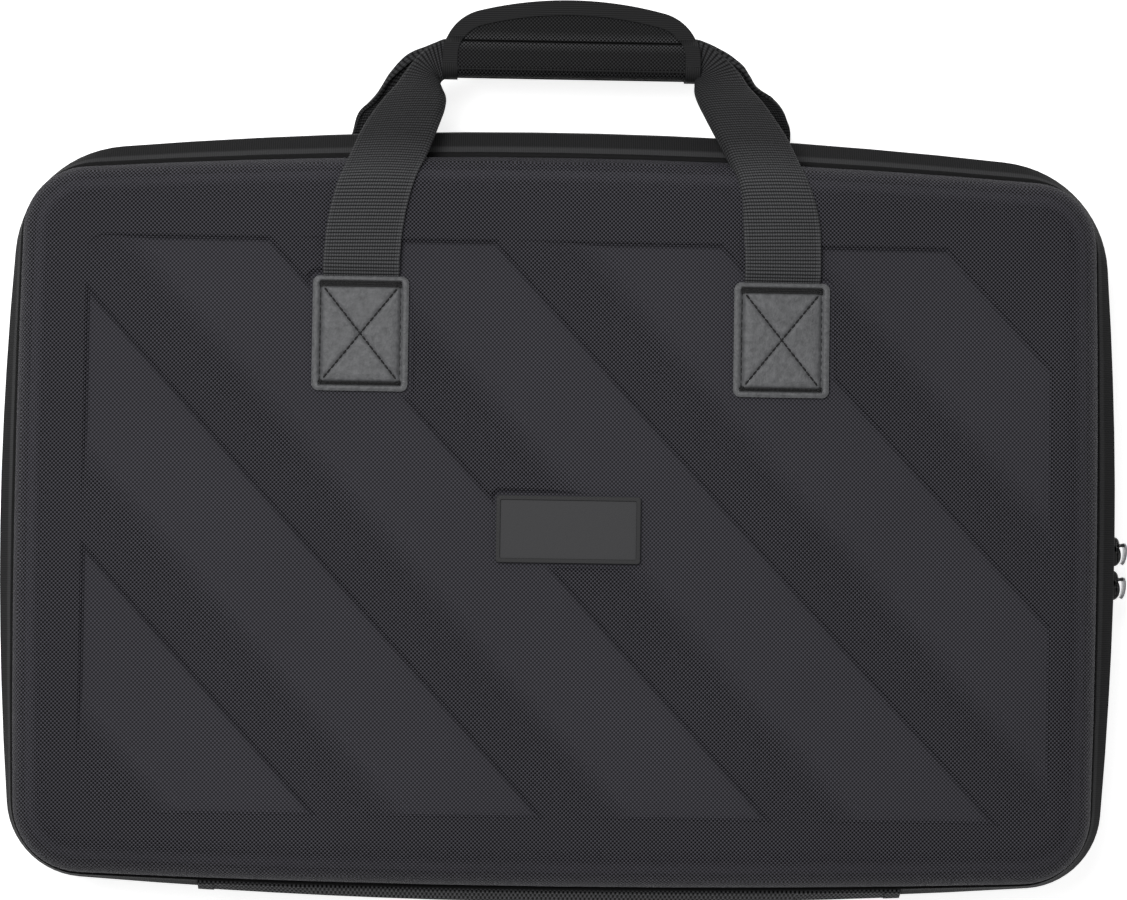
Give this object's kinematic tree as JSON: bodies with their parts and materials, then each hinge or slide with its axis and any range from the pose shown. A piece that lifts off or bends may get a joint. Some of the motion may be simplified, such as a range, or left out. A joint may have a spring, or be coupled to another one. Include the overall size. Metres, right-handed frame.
{
  "type": "dj controller bag",
  "caption": "Moulded fabric clamshell bag with diagonal relief, zip round the sides and top, fabric hinge, and webbing handles joined by a padded grip",
  "frame": {"origin": "Below the middle of the whole bag, at the level on which it lies", "axes": "+X along the bag's length, the picture's right; +Y from the fabric hinge to the handles; +Z out of the front face"},
  "size_m": [0.5806, 0.4618, 0.1057],
  "materials": {
    "shell_fabric": "coarse black ballistic weave bonded to moulded foam",
    "zip_tape": "fine woven tape",
    "zip_teeth": "satin",
    "ribbon": "smooth grosgrain",
    "webbing": "ribbed webbing",
    "leatherette": "grained grey leatherette",
    "badge_rubber": "matt moulded",
    "grip_fabric": "ballistic weave over padding",
    "hook_and_loop": "napped",
    "slider_metal": "black enamel",
    "puller_metal": "satin gunmetal",
    "foam": "open foam, plain pads"
  },
  "bodies": {
    "base": {"rear_shell": "shell_fabric", "rear_zip_tape": "zip_tape", "rear_zip_chain": "zip_teeth", "rear_rim_binding": "ribbon", "rear_hinge_band": "webbing", "rear_hinge_tabs": "webbing", "rear_left_patch": "leatherette", "rear_right_patch": "leatherette", "rear_handle_strap": "webbing", "rear_grip_pad": "grip_fabric", "rear_grip_binding": "ribbon", "grip_hook_strip": "hook_and_loop", "base_foam": "foam"},
    "lid": {"front_shell": "shell_fabric", "front_zip_tape": "zip_tape", "front_zip_chain": "zip_teeth", "front_rim_binding": "ribbon", "front_hinge_band": "webbing", "front_hinge_tabs": "webbing", "front_left_patch": "leatherette", "front_right_patch": "leatherette", "badge": "badge_rubber", "front_handle_strap": "webbing", "front_grip_pad": "grip_fabric", "front_grip_binding": "ribbon", "grip_loop_strip": "hook_and_loop", "lid_foam": "foam"},
    "upper_slider": {"upper_slider": "slider_metal"},
    "lower_slider": {"lower_slider": "slider_metal"},
    "upper_puller": {"upper_puller": "puller_metal"},
    "lower_puller": {"lower_puller": "puller_metal"}
  },
  "joints": [
    {"name": "lid_hinge", "type": "hinge", "parent": "base", "child": "lid", "pos_m": [-0.00552, -0.2311, 0.0529], "axis": [1, 0, 0], "range_deg": [0, 180]},
    {"name": "upper_slider_travel", "type": "hinge", "parent": "base", "child": "upper_slider", "pos_m": [-0.96702, -0.0371, 0.0529], "axis": [0, 0, 1], "range_deg": [0, 5.7]},
    {"name": "lower_slider_travel", "type": "hinge", "parent": "base", "child": "lower_slider", "pos_m": [-0.96702, -0.0371, 0.0529], "axis": [0, 0, 1], "range_deg": [-4.8, 0]},
    {"name": "upper_puller_swing", "type": "hinge", "parent": "upper_slider", "child": "upper_puller", "pos_m": [0.28596, -0.04493, 0.0529], "axis": [0, 0, 1], "range_deg": [0, 110]},
    {"name": "lower_puller_swing", "type": "hinge", "parent": "lower_slider", "child": "lower_puller", "pos_m": [0.28573, -0.06237, 0.0529], "axis": [0, 0, 1], "range_deg": [0, 110]}
  ]
}
